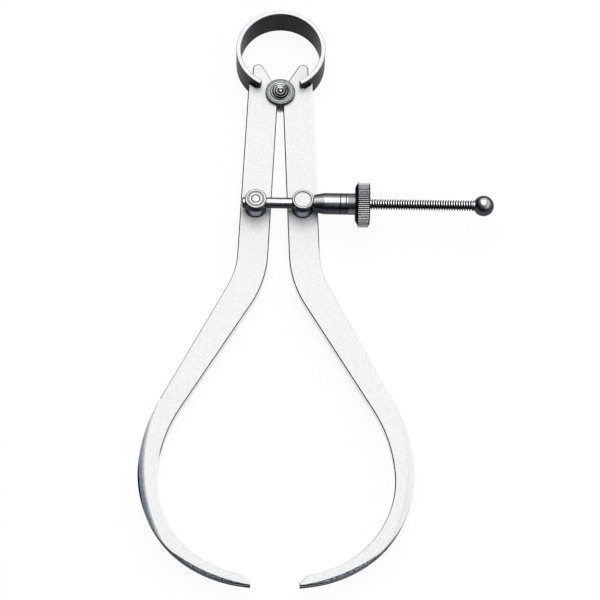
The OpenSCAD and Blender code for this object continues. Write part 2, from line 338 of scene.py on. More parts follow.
@dataclass(frozen=True)
class SatinPlate(Finish):
    """Satin plated flat steel, with grainy ground bevels, broken arrises and blanked edges, and
    painted light and shade on bevels, arrises and edges by the way they face.
    """

    name: str
    mid_z: float
    half_t: float
    facet_y: float
    jaw_y: float
    outward: float
    # Painted light per leg: the left leg in shade, the right lit from the right.
    tone: LegLighting
    face: Colour = (0.73, 0.726, 0.718)
    face_dot: Colour = (0.43, 0.428, 0.425)
    ground: Colour = (0.9, 0.93, 0.95)
    # Arrises are painted light where they face back, and right on the right leg, and painted shade
    # where they face the front.
    arris: Colour = (0.85, 0.85, 0.85)
    arris_dark: Colour = (0.1, 0.085, 0.075)
    # Tip facets that face the front are painted a bluish dark over a grain, a painted shade.
    facet: Colour = (0.38, 0.44, 0.5)
    facet_dark: Colour = (0.06, 0.08, 0.1)
    # Upright edges facing the front are painted dark, a painted shade that also draws the line along
    # the bevels' rim; the others are painted lit.
    edge: Colour = (0.022, 0.024, 0.03)
    edge_lit: Colour = (0.8, 0.79, 0.78)
    # A painted reflection along the middle of the upright edges, in a shaded and a lit copy.
    wall_reflection: Colour = (0.4, 0.41, 0.43)
    wall_reflection_lit: Colour = (0.66, 0.655, 0.65)
    grain: Grain = Grain(2600, 4)
    speck: Grain = Grain(8200, 2)
    streak: Grain = Grain(160, 4, (1, 1, 14))
    coarse: Grain = Grain(2400, 7)
    dots: Grain = Grain(3550, 6)
    bevel_rise: Span = (0.88, 0.9)
    flat_rise: Span = (0.955, 0.985)
    edge_rise: Span = (0.3, 0.55)
    # How the painted shade on the upright edges turns with their direction.
    shade_side: float = 0.15
    shade_turn: Span = (0.4, 0.66)
    arris_turn: Span = (0.0, 0.14)
    # The arrises are painted lighter toward the jaws.
    jaw_lighter_by: float = 0.26
    jaw_fade: float = 12.0 * MM
    facet_turn: Span = (0.2, 0.4)
    facet_fade: float = 1.0 * MM
    fade: float = 0.35 * MM
    fade_wander: float = 1.6
    # Where a painted shade line runs along the ground bevels' outer rim.
    rim_shade: float = 0.6 * MM
    rim_shade_soft: float = 0.1 * MM
    line: Span = (0.05, 0.3)
    line_wander: float = 0.2
    line_gaps: Span = (0.1, 0.6)
    grit_cut: Span = (0.38, 0.58)
    filed_cut: Span = (0.36, 0.66)
    dot_cut: Span = (0.44, 0.85)
    pit_cut: Span = (0.3, 0.6)
    pit_share: float = 0.1
    satin_matt: float = 0.8
    facet_matt: float = 0.7
    edge_matt: float = 0.95
    gloss: float = 0.28
    satin_gloss: float = 0.22
    grain_share: float = 0.6
    depth: float = 0.004 * MM

    def surface(self, graph: Graph) -> Surface:
        """Tells faces, bevels, arrises and edges apart by their direction, and paints light and
        shade on them by the way they face.

        Args:
            graph: The material's nodes.

        Returns:
            What its shader is fed.
        """
        across, along, rise = graph.facing()
        up = abs(rise)
        front = 0 - along
        _, y, z = graph.parts(graph.place())
        level = abs(z - self.mid_z)
        drop = self.half_t - level
        grain = graph.noise(self.grain)
        speck = graph.noise(self.speck)
        bevel = up.smooth(*self.bevel_rise)
        flat = up.smooth(*self.flat_rise)
        edge = 1 - up.smooth(*self.edge_rise)
        wander = (grain - NOISE_MEAN) * (self.fade_wander * self.fade)
        worn_in = (drop + wander).smooth(0.0, self.fade)
        # Painted shade: a dark line along the bevels' outer rim, all along the left leg and on the
        # right only where it faces the front.
        rim_shade = drop + (speck - NOISE_MEAN) * self.rim_shade_soft
        rim_shade = rim_shade.smooth(self.rim_shade, self.rim_shade + self.rim_shade_soft)
        rim_shade = rim_shade * bevel * front.smooth(*self.tone.rim_shade_turn)
        # How much of a bevel takes the face colour; the right leg's bevels mostly do, painted as
        # lit.
        satin = (flat + (bevel - flat) * (1 - worn_in * self.tone.bevel_shade_share)) * (1 - rim_shade)
        # Painted shade: upright edges that face the front are painted dark.
        shade = (across * (self.shade_side * self.outward) - along).smooth(*self.shade_turn)
        # Painted shade: tip facets that face the front take a bluish dark tone.
        facet = (1 - bevel) * (1 - edge) * front.smooth(*self.facet_turn)
        facet = facet * (self.facet_y - y).smooth(0.0, self.facet_fade)
        # Painted light and shade on the arrises by the way they face, lighter toward the jaws.
        jaw_lighter = (self.jaw_y - y).smooth(0.0, self.jaw_fade) * self.jaw_lighter_by
        turn = across * self.tone.lit_side + along + jaw_lighter
        broken = graph.mix(turn.smooth(*self.arris_turn), self.arris_dark, self.arris)
        coarse = graph.noise(self.coarse)
        facet_grain_and_shade = graph.mix(coarse.smooth(*self.filed_cut), self.facet_dark, self.facet)
        # The bevels' grain, in a bluish shaded tone on the left leg and a lit tone on the right,
        # with the painted rim line over it.
        bevel_grain_and_shade = graph.mix(coarse.smooth(*self.grit_cut), self.tone.bevel_grain_shade, self.ground)
        bevel_grain_and_shade = graph.mix(rim_shade, bevel_grain_and_shade, self.edge)
        ground = graph.mix(bevel, graph.mix(facet, broken, facet_grain_and_shade), bevel_grain_and_shade)
        bare = graph.mix(edge, ground, self.blanked(graph, level, shade))
        # Front-facing edges lose their metal, so that their painted shade stays dark.
        matt = satin * self.satin_matt + facet * self.facet_matt + edge * shade * self.edge_matt
        return Surface(
            colour=graph.mix(satin, bare, self.plated(graph, speck)),
            metallic=1 - matt,
            roughness=self.gloss + satin * self.satin_gloss + (speck - NOISE_MEAN) * GLOSS_WANDER,
            height=grain * self.grain_share + speck * (1 - self.grain_share),
            depth=self.depth,
            gleam=0.0,
        )

    def blanked(self, graph: Graph, level: Value, shade: Value) -> bpy.types.NodeSocket:
        """Colours the upright edges: painted shade where they face the front, painted light
        elsewhere, and a painted reflection along their middle.

        Args:
            graph: The material's nodes.
            level: Distance from the middle of the thickness.
            shade: Where an edge faces the front, and is painted dark.

        Returns:
            The edges' colour.
        """
        streak = graph.noise(self.streak)
        off_line = level / self.half_t + (streak - NOISE_MEAN) * self.line_wander
        line = (1 - off_line.smooth(*self.line)) * streak.smooth(*self.line_gaps)
        wall = graph.mix(shade, self.edge_lit, self.edge)
        return graph.mix(line, wall, graph.mix(shade, self.wall_reflection_lit, self.wall_reflection))

    def plated(self, graph: Graph, speck: Value) -> bpy.types.NodeSocket:
        """Colours the plated faces.

        Args:
            graph: The material's nodes.
            speck: The finest grain, whose low spots are pits.

        Returns:
            The faces' colour.
        """
        dots = graph.noise(self.dots).smooth(*self.dot_cut)
        pits = (1 - speck.smooth(*self.pit_cut)) * self.pit_share
        return graph.mix(dots + pits, self.face, self.face_dot)


@dataclass(frozen=True)
class BluedStrip(Finish):
    """Spring strip with dark rolled faces and ground white edges."""

    name: str = "blued_strip"
    face: Colour = (0.010, 0.0105, 0.012)
    worn: Colour = (0.055, 0.058, 0.066)
    edge: Colour = (0.68, 0.682, 0.692)
    arris: Colour = (0.4, 0.41, 0.43)
    grain: Grain = Grain(3200, 4)
    patch: Grain = Grain(260, 3)
    speck: Grain = Grain(7000, 2)
    edge_rise: Span = (0.93, 0.98)
    arris_rise: Span = (0.3, 0.5)
    grain_cut: Span = (0.42, 0.7)
    patch_cut: Span = (0.2, 0.7)
    speck_cut: Span = (0.3, 0.7)
    speck_tone: float = 0.93
    edge_matt: float = 0.8
    gloss: float = 0.36
    edge_gloss: float = 0.12
    gloss_wander: float = 0.2
    depth: float = 0.008 * MM
    rim: float = 0.65

    def surface(self, graph: Graph) -> Surface:
        """Tells the ground edges, the arrises and the rolled faces apart by their direction.

        Args:
            graph: The material's nodes.

        Returns:
            What its shader is fed.
        """
        up = abs(graph.facing()[2])
        edge = up.smooth(*self.edge_rise)
        broken = up.smooth(*self.arris_rise)
        grain = graph.noise(self.grain)
        worn = grain.smooth(*self.grain_cut) * graph.noise(self.patch).smooth(*self.patch_cut)
        rolled = graph.mix(worn, self.face, self.worn)
        speck = graph.noise(self.speck).smooth(*self.speck_cut)
        ground = graph.mix(speck, [c * self.speck_tone for c in self.edge], self.edge)
        uneven = (grain - NOISE_MEAN) * self.gloss_wander
        return Surface(
            colour=graph.mix(edge, graph.mix(broken, rolled, self.arris), ground),
            metallic=1 - edge * self.edge_matt,
            roughness=self.gloss + edge * self.edge_gloss + uneven,
            height=grain,
            depth=self.depth,
            rim=self.rim,
        )


@dataclass(frozen=True)
class TurnedSteel(Finish):
    """Steel turned round an upright axis, with tool marks, rings and a head of its own tone, and
    painted light and shade: a reflection band and dark flanks on its sides.
    """

    name: str
    axis: Span
    # The sides are painted a lit tone in a band, a painted reflection, and a dark tone at their
    # flanks and outside the band, a painted shade.
    side: Colour
    side_dark: Colour
    head: Colour
    head_dark: Colour
    # Rings on the head: on the stud, painted highlights on its ring crests and centre; on the posts,
    # dark rings at the grooves.
    worn: Colour = (0.6, 0.61, 0.6)
    worn_rings: tuple[tuple[float, float], ...] = ()
    ring_w: float = 0.2 * MM
    ring_core: float = 0.4
    ring_gaps: Span = (0.1, 0.5)
    # Below a height the steel is painted pale and less metallic: painted light that lifts the shade
    # under the stud between the legs.
    foot: Colour = (0.66, 0.66, 0.655)
    foot_z: float = -1.0
    foot_fade: float = 0.1 * MM
    foot_matt: float = 0.8
    # Heights of the painted reflection band on the sides, and how it darkens toward their flanks.
    glow: Span = (-1.0, 1.0)
    glow_rise: float = 0.6 * MM
    glow_fall: float = 0.8 * MM
    side_turn: Span = (0.2, 0.75)
    head_rise: Span = (0.45, 0.8)
    head_cut: Span = (0.3, 0.6)
    mark_tone: float = 0.3
    wander: Grain = Grain(900, 2)
    wander_by: float = 1.6
    mottle: Grain = Grain(1500, 3)
    marks_per_mm: float = 2.2
    hoops_per_ring: float = 2.0
    gloss: float = 0.24
    mark_gloss: float = 0.05
    mark_height: float = 0.5
    depth: float = 0.004 * MM
    rim: float = 0.7

    def surface(self, graph: Graph) -> Surface:
        """Rings of tool marks on the head, and hoops of them on the sides, which carry a painted
        reflection in a band and painted shade at their flanks.

        Args:
            graph: The material's nodes.

        Returns:
            What its shader is fed.
        """
        x, y, z = graph.parts(graph.place())
        reach = (x - self.axis[0]).hypot(y - self.axis[1])
        across, _, rise = graph.facing()
        head = abs(rise).smooth(*self.head_rise)
        turns = 2 * math.pi * self.marks_per_mm / MM
        wander = graph.noise(self.wander) * self.wander_by
        rings = (reach * turns + wander).wave()
        hoops = (z * (turns * self.hoops_per_ring) + wander).wave()
        marks = rings * head + hoops * (1 - head)
        mottle = graph.noise(self.mottle)
        tone = mottle.smooth(*self.head_cut) * (1 - self.mark_tone) + rings * self.mark_tone
        pale = graph.mix(tone, self.head_dark, self.head)
        low, high = self.glow
        # Painted reflection: a lit band up the sides, painted dark toward their flanks.
        lit = (z - low).smooth(0.0, self.glow_rise) * (1 - (z - high).smooth(0.0, self.glow_fall))
        lit = lit * (1 - abs(across).smooth(*self.side_turn))
        colour = graph.mix(head, graph.mix(lit, self.side_dark, self.side), pale)
        # Rings laid on the head: painted highlights on the stud, dark rings at the posts' grooves.
        bare = head * mottle.smooth(*self.ring_gaps)
        for radius, share in self.worn_rings:
            ring = 1 - abs(reach - radius).smooth(self.ring_w * self.ring_core, self.ring_w)
            colour = graph.mix(ring * bare * share, colour, self.worn)
        # Painted light: below that height the back is painted pale and less metallic, against the
        # shade between the legs.
        foot = (self.foot_z - z).smooth(0.0, self.foot_fade)
        return Surface(
            colour=graph.mix(foot, colour, self.foot),
            metallic=1 - foot * self.foot_matt,
            roughness=self.gloss + (mottle - NOISE_MEAN) * GLOSS_WANDER + marks * self.mark_gloss,
            height=marks * self.mark_height + mottle * (1 - self.mark_height),
            depth=self.depth,
            rim=self.rim,
        )


@dataclass(frozen=True)
class LatheSteel(Finish):
    """Oil-blacked steel turned round the screw's axis, with a painted highlight on top, and darker
    in its valleys.
    """

    name: str
    axis: Span
    tone: Colour = (0.05, 0.052, 0.058)
    # The painted highlight's colour, on faces turned up.
    bright: Colour = (0.27, 0.27, 0.272)
    valley: Colour = (0.012, 0.012, 0.013)
    valley_r: Span = (-1.0, -0.9)
    valley_h: float = 0.8 * MM
    valley_core: float = 0.6
    # Where the painted highlight starts and ends, by how far a face turns up.
    polish: Span = (0.74, 0.92)
    sheen_way: Span = (-0.2, 0.98)
    sheen_wander: float = 0.2
    grooves: tuple[float, ...] = ()
    groove_w: float = 0.2 * MM
    groove_core: float = 0.4
    wander: Grain = Grain(700, 2)
    wander_by: float = 2.0
    mottle: Grain = Grain(1300, 4)
    marks_per_mm: float = 4.0
    gloss: float = 0.2
    mark_gloss: float = 0.06
    mark_height: float = 0.6
    depth: float = 0.003 * MM
    rim: float = 0.7

    def surface(self, graph: Graph) -> Surface:
        """Hoops of tool marks along X, with a painted highlight on the upward faces and darker down
        in the valleys.

        Args:
            graph: The material's nodes.

        Returns:
            What its shader is fed.
        """
        x, y, z = graph.parts(graph.place())
        reach = (y - self.axis[0]).hypot(z - self.axis[1])
        root, crest = self.valley_r
        inside = reach.smooth(root - self.valley_h, root - self.valley_h * self.valley_core)
        valley = (1 - reach.smooth(root, crest)) * inside
        wander = graph.noise(self.wander) * self.wander_by
        marks = (x * (2 * math.pi * self.marks_per_mm / MM) + wander).wave()
        mottle = graph.noise(self.mottle)
        # Painted highlight: faces turned up, a little to the front, take the bright colour.
        _, along, rise = graph.facing()
        worn = along * self.sheen_way[0] + rise * self.sheen_way[1]
        worn = (worn + (mottle - NOISE_MEAN) * self.sheen_wander).smooth(*self.polish)
        skin = graph.mix(worn, self.tone, self.bright)
        for groove in self.grooves:
            clear = abs(x - groove).smooth(self.groove_w * self.groove_core, self.groove_w)
            skin = graph.mix(1 - clear, skin, self.valley)
        return Surface(
            colour=graph.mix(valley, skin, self.valley),
            metallic=1.0,
            roughness=self.gloss + (mottle - NOISE_MEAN) * GLOSS_WANDER + marks * self.mark_gloss,
            height=marks * self.mark_height + mottle * (1 - self.mark_height),
            depth=self.depth,
            rim=self.rim,
        )


@dataclass(frozen=True)
class KnurlSteel(Finish):
    """Oiled steel with a straight knurl that is worn bright on its teeth."""

    name: str
    axis: Span
    outer_r: float
    tooth: Colour = (0.95, 0.95, 0.96)
    valley: Colour = (0.012, 0.012, 0.013)
    shoulder: Colour = (0.03, 0.031, 0.035)
    hub: Colour = (0.15, 0.152, 0.16)
    hub_r: float = 3.5 * MM
    hub_fade: float = 0.1 * MM
    tooth_h: float = 0.3 * MM
    rim_depth: Span = (1.3, 1.0)
    crest_depth: Span = (0.46, 0.2)
    crest_wander: float = 0.4
    side_turn: Span = (0.2, 0.45)
    mottle: Grain = Grain(1800, 4)
    rim_matt: float = 0.8
    gloss: float = 0.3
    rim_gloss: float = 0.16
    depth: float = 0.004 * MM
    rim: float = 0.3
    gleam: float = 0.2

    def surface(self, graph: Graph) -> Surface:
        """Tells the teeth from the rest by their distance from the axis and their direction.

        Args:
            graph: The material's nodes.

        Returns:
            What its shader is fed.
        """
        _, y, z = graph.parts(graph.place())
        reach = (y - self.axis[0]).hypot(z - self.axis[1])
        mottle = graph.noise(self.mottle)
        rim = reach.smooth(*(self.outer_r - self.tooth_h * depth for depth in self.rim_depth))
        worn = reach + (mottle - NOISE_MEAN) * (self.tooth_h * self.crest_wander)
        crest = worn.smooth(*(self.outer_r - self.tooth_h * depth for depth in self.crest_depth))
        side = abs(graph.facing()[0]).smooth(*self.side_turn)
        knurl = graph.mix(crest, self.valley, self.tooth)
        off_hub = reach.smooth(self.hub_r, self.hub_r + self.hub_fade)
        body = graph.mix(off_hub, self.hub, self.shoulder)
        return Surface(
            colour=graph.mix(rim * (1 - side), body, knurl),
            metallic=1 - rim * self.rim_matt,
            roughness=self.gloss + rim * self.rim_gloss + (mottle - NOISE_MEAN) * GLOSS_WANDER,
            height=mottle,
            depth=self.depth,
            rim=self.rim,
            gleam=self.gleam,
        )


class Bench:
    """Modelling steps that the new pieces share."""

    @staticmethod
    def pick(piece: bpy.types.Object) -> None:
        """Makes a piece the only one that is selected, and active.

        Args:
            piece: The object.
        """
        bpy.ops.object.select_all(action="DESELECT")
        piece.select_set(True)
        bpy.context.view_layer.objects.active = piece

    @staticmethod
    def named(name: str) -> bpy.types.Object:
        """Names the primitive that was just added and puts its place into its mesh.

        Args:
            name: The object's and the mesh's name.

        Returns:
            The object.
        """
        made = bpy.context.object
        made.name = made.data.name = name
        bpy.ops.object.transform_apply(location=True, rotation=True, scale=True)
        return made

    @staticmethod
    @contextmanager
    def editing(piece: bpy.types.Object) -> Iterator[None]:
        """Edit mode on one piece, with nothing selected at the start.

        Args:
            piece: The object.

        Yields:
            Nothing.
        """
        Bench.pick(piece)
        bpy.ops.object.mode_set(mode="EDIT")
        bpy.ops.mesh.select_all(action="DESELECT")
        try:
            yield
        finally:
            bpy.ops.object.mode_set(mode="OBJECT")

    @staticmethod
    def select(piece: bpy.types.Object, element: Element, test: Callable[[Any], bool]) -> None:
        """Selects what passes a test, in edit mode.

        Args:
            piece: The object in edit mode.
            element: Vertices, edges or faces.
            test: Says of a bmesh element whether it is wanted.
        """
        bpy.ops.mesh.select_all(action="DESELECT")
        bpy.ops.mesh.select_mode(type=element.value)
        mesh = bmesh.from_edit_mesh(piece.data)
        groups = {Element.VERTS: mesh.verts, Element.EDGES: mesh.edges, Element.FACES: mesh.faces}
        for item in [item for item in groups[element] if test(item)]:
            item.select_set(True)
        mesh.select_flush_mode()
        bmesh.update_edit_mesh(piece.data)

    @staticmethod
    def modify(piece: bpy.types.Object, kind: str, **settings: Any) -> None:
        """Adds a modifier and applies it.

        Args:
            piece: The object.
            kind: The modifier's type.
            settings: Its properties.
        """
        Bench.pick(piece)
        added = piece.modifiers.new(kind.lower(), kind)
        for name, setting in settings.items():
            setattr(added, name, setting)
        bpy.ops.object.modifier_apply(modifier=added.name)

    @staticmethod
    def smooth(piece: bpy.types.Object, degrees: float) -> None:
        """Shades a piece smooth up to an angle, with flat faces kept flat.

        Args:
            piece: The object.
            degrees: The angle.
        """
        Bench.pick(piece)
        bpy.ops.object.shade_smooth_by_angle(angle=math.radians(degrees))
        Bench.modify(piece, "WEIGHTED_NORMAL", keep_sharp=True, weight=FLAT_WEIGHT)

    @staticmethod
    def close(piece: bpy.types.Object) -> None:
        """Merges doubles and turns all faces outwards.

        Args:
            piece: The object.
        """
        with Bench.editing(piece):
            bpy.ops.mesh.select_all(action="SELECT")
            bpy.ops.mesh.remove_doubles(threshold=WELD / 2)
            bpy.ops.mesh.normals_make_consistent(inside=False)


@dataclass
class LegPair:
    """The two legs, with their arrises broken all round."""

    arris_w: float = 0.28 * MM
    arris_drop: float = 0.18 * MM
    facet_run: float = 14.5 * MM
    jaw_run: float = 44.0 * MM
    flat_turn: float = 0.3
    smooth_turn: float = 21.0
    wall_rise: float = 0.3
    bevel_rise: Span = (0.5, 0.99)
    # The left leg is painted in shade; the right is painted lit, with light right-facing arrises and
    # mostly face-coloured bevels.
    leg_lighting: dict[Side, LegLighting] = field(default_factory=lambda: {
        Side.LEFT: LegLighting(
            lit_side=0.0, bevel_shade_share=1.0, rim_shade_turn=(-1.0, -0.9), bevel_grain_shade=(0.5, 0.62, 0.76)),
        Side.RIGHT: LegLighting(
            lit_side=0.6, bevel_shade_share=0.45, rim_shade_turn=(0.06, 0.2), bevel_grain_shade=(0.8, 0.81, 0.82)),
    })

    def build(self) -> None:
        """Makes both legs and dresses them."""
        for side in Side:
            low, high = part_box(side.body)
            finish = SatinPlate(
                name=f"satin_{side.body}",
                mid_z=(low.z + high.z) / 2,
                half_t=(high.z - low.z) / 2,
                facet_y=low.y + self.facet_run,
                jaw_y=low.y + self.jaw_run,
                outward=side.value,
                tone=self.leg_lighting[side],
            )
            plate = self.plate(side)
            finish.dress(plate)
            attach(plate, side.body)
            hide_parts(side.body)
            LOG.info("%s: %d faces", plate.name, len(plate.data.polygons))

    def plate(self, side: Side) -> bpy.types.Object:
        """Makes one leg from a merged copy of its solid, with chamfered arrises.

        Args:
            side: Which leg.

        Returns:
            The finished leg.
        """
        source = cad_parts[side.body]
        piece = bpy.data.objects.new(f"{side.body}_plate", source.data.copy())
        bpy.context.scene.collection.objects.link(piece)
        Bench.pick(piece)
        bpy.ops.mesh.customdata_custom_splitnormals_clear()
        low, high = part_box(side.body)
        with Bench.editing(piece):
            bpy.ops.mesh.select_all(action="SELECT")
            bpy.ops.mesh.remove_doubles(threshold=WELD)
            bpy.ops.mesh.dissolve_limited(angle_limit=math.radians(self.flat_turn))
            self.break_arrises(piece, high.z, -1)
            self.break_arrises(piece, low.z, 1)
        Bench.close(piece)
        Bench.smooth(piece, self.smooth_turn)
        return piece

    def break_arrises(self, piece: bpy.types.Object, level: float, way: int) -> None:
        """Insets a face, flattens what rose out of it, and lowers its rim.

        Args:
            piece: The leg, in edit mode.
            level: Z of the face.
            way: Sign of the way into the leg.
        """
        Bench.select(piece, Element.FACES,
                     lambda face: all(abs(v.co.z - level) < TOUCH for v in face.verts))
        bpy.ops.mesh.inset(thickness=self.arris_w, use_even_offset=True)
        Bench.select(piece, Element.VERTS, lambda vert: (vert.co.z - level) * way < -WELD)
        bpy.ops.transform.resize(value=(1, 1, 0), center_override=(0, 0, level))
        Bench.select(piece, Element.VERTS, lambda vert: self.on_rim(vert, level))
        bpy.ops.transform.translate(value=(0, 0, way * self.arris_drop))

    def on_rim(self, vert: Any, level: float) -> bool:
        """Tells whether a vertex lies where a face meets an edge, away from the ground bevels.

        Args:
            vert: A bmesh vertex.
            level: Z of the face.

        Returns:
            Whether it does.
        """
        rises = [abs(face.normal.z) for face in vert.link_faces]
        low, high = self.bevel_rise
        on_bevel = any(low < rise < high for rise in rises)
        return abs(vert.co.z - level) < TOUCH and min(rises) < self.wall_rise and not on_bevel


@dataclass
class BowSpring:
    """The bow spring as two halves, each bent between its leg and the fulcrum."""

    outside_d: float = 25.9 * MM
    strip_t: float = 1.3 * MM
    mouth: float = 27.5
    fork_w: float = 3.3 * MM
    fork_depth: float = 1.2 * MM
    arris: float = 0.15 * MM
    sharp_turn: float = 35.0
    smooth_turn: float = 30.0
    steps: int = 72
    fork_steps: int = 4
    bend_from: float = -10.5 * MM
    bend_to: float = 11.4 * MM
    centre: Vector = field(init=False)
    width: float = field(init=False)

    def build(self) -> None:
        """Makes both halves and dresses them."""
        low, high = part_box("bow_spring")
        self.centre = Vector((
            (low.x + high.x) / 2, high.y - self.outside_d / 2, (low.z + high.z) / 2))
        self.width = high.z - low.z
        for side in Side:
            half = self.half(side)
            BluedStrip().dress(half)
            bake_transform(half)
            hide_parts("bow_spring")
            LOG.info("%s: %d faces", half.name, len(half.data.polygons))

    def half(self, side: Side) -> bpy.types.Object:
        """Spins half of the strip from the top of the bow down to its forked end.

        Args:
            side: Which half.

        Returns:
            The finished half.
        """
        mid_r = (self.outside_d - self.strip_t) / 2
        top = self.centre + Vector((0, mid_r, 0))
        bpy.ops.object.select_all(action="DESELECT")
        bpy.ops.mesh.primitive_plane_add(size=1, location=top, rotation=(0, math.pi / 2, 0))
        bpy.context.object.scale = (self.width, self.strip_t, 1)
        piece = Bench.named(f"bow_{side.name.lower()}_half")
        fork_turn = self.fork_depth / mid_r
        sweep = math.pi - math.radians(self.mouth) - fork_turn
        last = self.centre + Vector((side.value * math.sin(sweep), math.cos(sweep), 0)) * mid_r
        round_bow = {"center": self.centre, "axis": (0, 0, side.value)}
        with Bench.editing(piece):
            for edge in (-1, 1):
                bpy.ops.mesh.select_all(action="SELECT")
                level = self.centre + Vector((0, 0, edge * self.fork_w / 2))
                bpy.ops.mesh.bisect(plane_co=level, plane_no=(0, 0, 1))
            bpy.ops.mesh.select_all(action="SELECT")
            bpy.ops.mesh.spin(steps=self.steps, angle=sweep, **round_bow)
            Bench.select(piece, Element.FACES, lambda face: self.on_fork(face, last))
            bpy.ops.mesh.spin(steps=self.fork_steps, angle=fork_turn, **round_bow)
            Bench.select(piece, Element.FACES, self.on_seam)
            bpy.ops.mesh.delete(type="FACE")
        Bench.close(piece)
        with Bench.editing(piece):
            bpy.ops.mesh.select_mode(type="EDGE")
            bpy.ops.mesh.edges_select_sharp(sharpness=math.radians(self.sharp_turn))
            bpy.ops.mesh.bevel(offset=self.arris, segments=1, affect="EDGES", clamp_overlap=False)
            Bench.select(piece, Element.EDGES, lambda edge: edge.is_boundary)
            bpy.ops.mesh.edge_face_add()
        Bench.close(piece)
        Bench.smooth(piece, self.smooth_turn)
        return piece

    def on_fork(self, face: Any, last: Vector) -> bool:
        """Tells whether a face is one of the two that the fork's tines grow from.

        Args:
            face: A bmesh face.
            last: Middle of the strip at the end of the spin.

        Returns:
            Whether it is.
        """
        offset = face.calc_center_median() - last
        off_middle = abs(offset.z)
        offset.z = 0
        return offset.length < 2 * TOUCH and off_middle > self.fork_w / 2

    def on_seam(self, face: Any) -> bool:
        """Tells whether a face lies at the top of the bow, where the two halves meet.

        Args:
            face: A bmesh face.

        Returns:
            Whether it does.
        """
        at_top = face.calc_center_median().y > self.centre.y
        return at_top and all(abs(v.co.x - self.centre.x) < WELD for v in face.verts)


